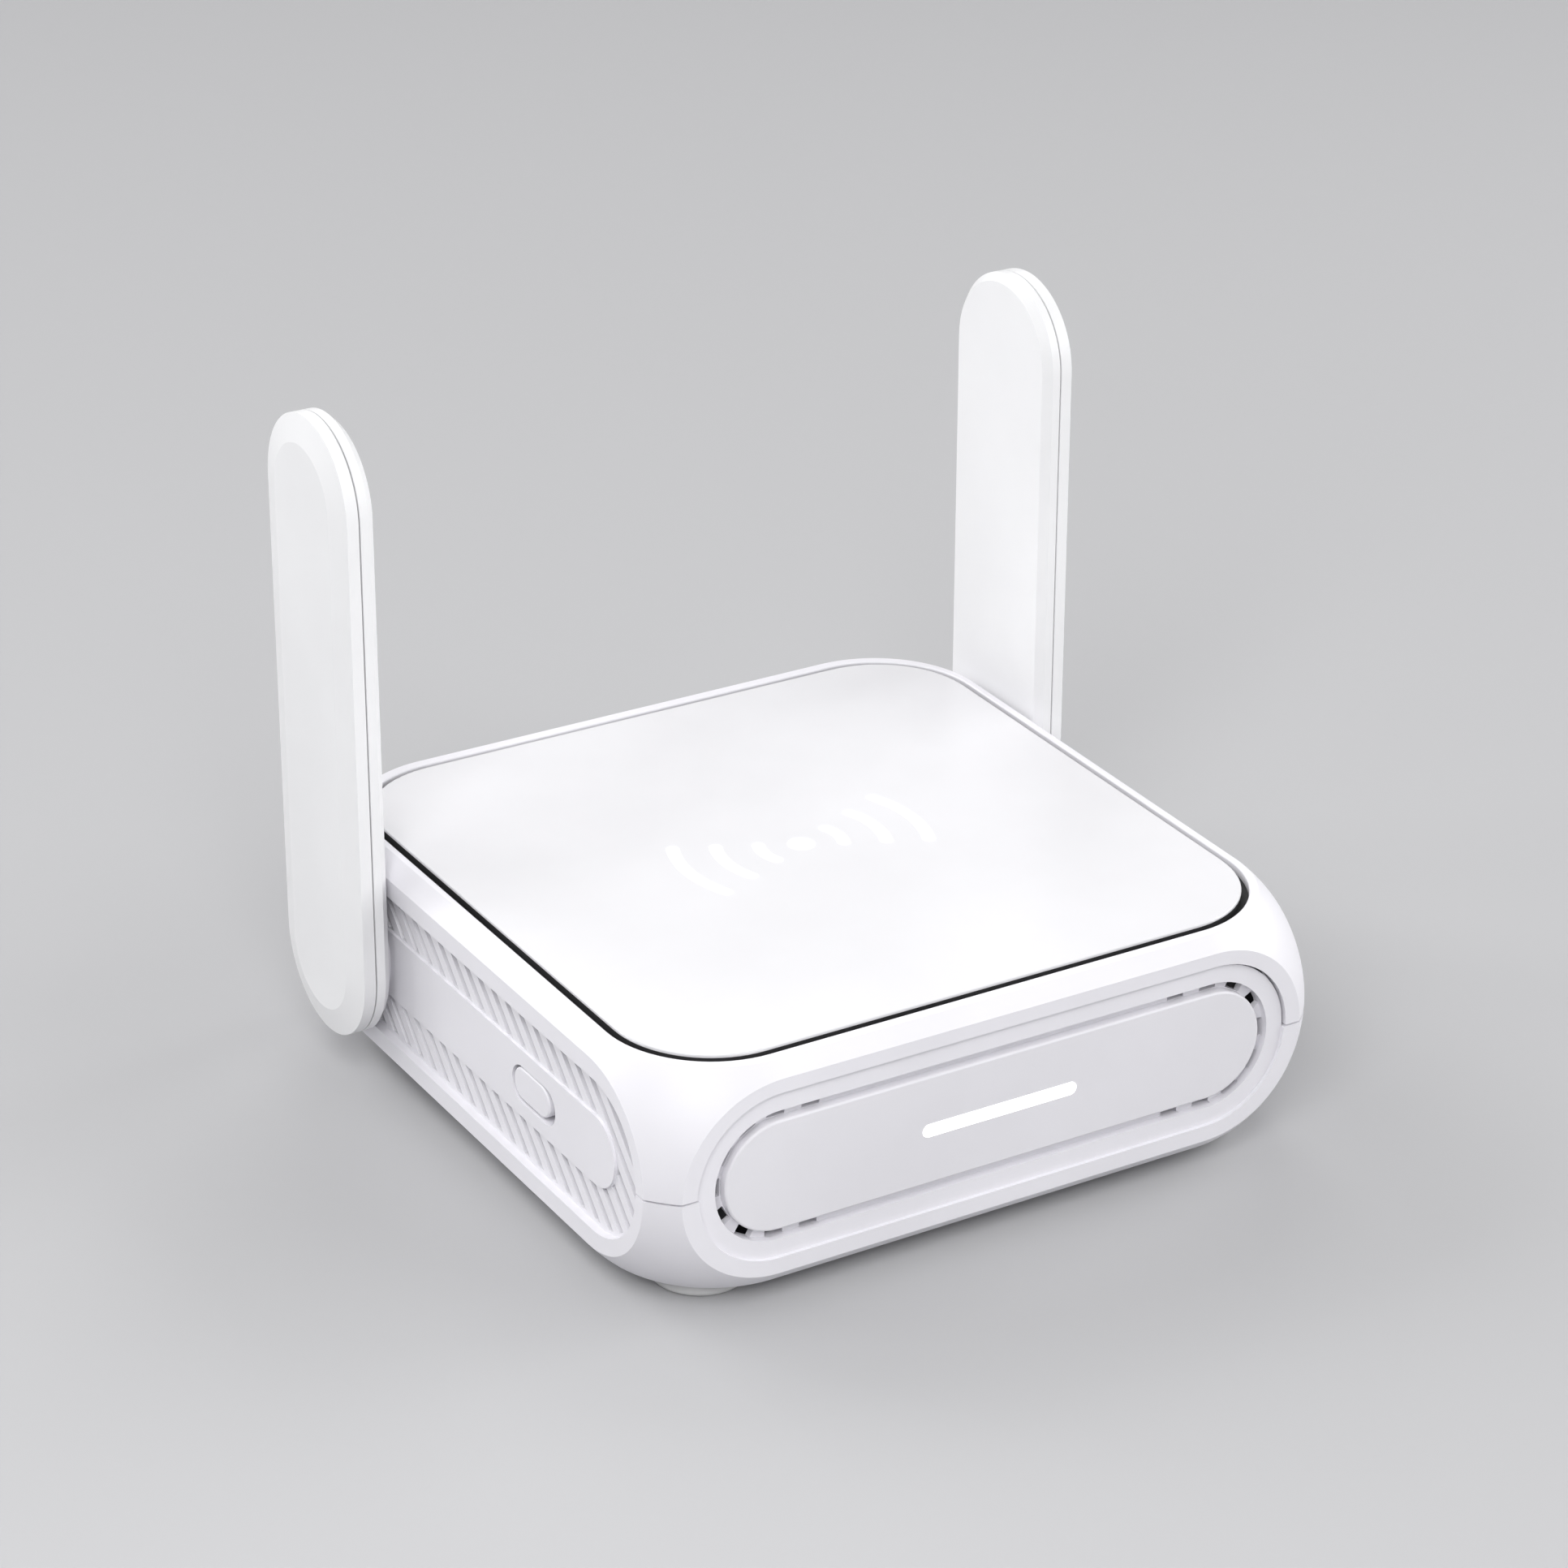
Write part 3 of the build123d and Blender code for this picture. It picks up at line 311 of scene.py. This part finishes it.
LAMP_TINTS = {
    "green": plastic("lamp_green", (0.10, 0.55, 0.16), 0.22, coat=0.5, tint=0.05, relief=0.0),
    "amber": plastic("lamp_amber", (0.80, 0.42, 0.06), 0.22, coat=0.5, tint=0.05, relief=0.0),
}
LAMP_NEAR, LAMP_FAR = 4.1 * MM, 7.0 * MM        # from the jack's middle
LAMP_BOTTOM, LAMP_TOP = 2.1 * MM, 0.5 * MM      # below the insert's top
LAMP_SUNK, LAMP_PROUD = 0.3 * MM, 0.12 * MM     # behind and before the insert's face
LAMP_ROUND = 0.25 * MM
for jack in ("wan_jack", "lan_jack"):
    insert_low, insert_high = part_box(f"{jack}_insert")
    middle = (insert_low.x + insert_high.x) / 2
    for tint, outward in (("green", 1), ("amber", -1)):
        left, right = sorted((middle + outward * LAMP_NEAR, middle + outward * LAMP_FAR))
        rounded_bar(f"{jack}_lamp_{tint}",
                    (left, insert_high.y - LAMP_SUNK, insert_high.z - LAMP_BOTTOM),
                    (right, insert_high.y + LAMP_PROUD, insert_high.z - LAMP_TOP),
                    LAMP_ROUND, LAMP_TINTS[tint])


# ---------------------------------------------------------------- stage, light and camera
FLOOR_COLOUR = (0.44, 0.44, 0.45)
FLOOR_SIZE = 6.0
LIGHT_AIM = Vector((0, 0, 0.03))
SKY_COLOUR, SKY_STRENGTH = (0.92, 0.93, 0.95), 0.10
SOFT_LIGHTS = (
    # name, place, width and height, watts
    ("over_camera", (-0.50, -0.75, 0.60), (0.7, 0.6), 1.9),
    ("near_left_front", (-0.30, -0.35, 0.45), (0.35, 0.35), 2.15),
    ("near_left", (-0.35, 0.05, 0.50), (0.35, 0.35), 0.47),
    ("left_rear", (-0.70, 0.60, 0.50), (0.7, 0.6), 3.3),
    ("far_rear", (-0.60, 1.60, 1.00), (1.2, 1.0), 14.5),
    ("rear_above", (0.00, 0.70, 0.65), (0.8, 0.6), 0.63),
    ("rear_right_above", (0.30, 0.50, 0.60), (0.4, 0.4), 1.2),
    ("right", (0.95, -0.10, 0.45), (0.7, 0.6), 5.9),
    ("front_right", (0.70, -0.70, 0.50), (0.7, 0.6), 4.4),
)


def make_floor():
    """Plain pale floor, kept out of the model."""
    bpy.ops.mesh.primitive_plane_add(size=FLOOR_SIZE, location=(0, 0, 0))
    floor = bpy.context.object
    floor.name = "floor"
    made, _, shader = material("floor_pale")
    shader.inputs["Base Color"].default_value = (*FLOOR_COLOUR, 1)
    shader.inputs["Roughness"].default_value = 0.7
    floor.data.materials.append(made)


def soft_light(name, place, size, watts):
    """Rectangular area light that faces the model."""
    data = bpy.data.lights.new(name, "AREA")
    data.shape = "RECTANGLE"
    data.size, data.size_y = size
    data.energy = watts
    lamp = bpy.data.objects.new(name, data)
    lamp.location = place
    lamp.rotation_euler = (LIGHT_AIM - Vector(place)).to_track_quat("-Z", "Y").to_euler()
    scene.collection.objects.link(lamp)


def make_sky():
    """Faint even light from all round."""
    world = bpy.data.worlds.new("studio")
    world.use_nodes = True
    background = world.node_tree.nodes["Background"]
    background.inputs["Color"].default_value = (*SKY_COLOUR, 1)
    background.inputs["Strength"].default_value = SKY_STRENGTH
    scene.world = world


def make_camera():
    """Camera at the photograph's viewpoint, with its slight roll."""
    data = bpy.data.cameras.new("camera")
    data.lens, data.sensor_width = LENS_MM, SENSOR_MM
    data.clip_start, data.clip_end = 0.01, 20.0
    camera = bpy.data.objects.new("camera", data)
    forward = (AIM - EYE).normalized()
    turn = forward.to_track_quat("-Z", "Y").to_matrix().to_4x4()
    camera.matrix_world = Matrix.Translation(EYE) @ turn @ Matrix.Rotation(ROLL, 4, "Z")
    scene.collection.objects.link(camera)
    scene.camera = camera


make_floor()
for name, place, size, watts in SOFT_LIGHTS:
    soft_light(name, place, size, watts)
make_sky()
make_camera()
scene.view_settings.view_transform = "Standard"
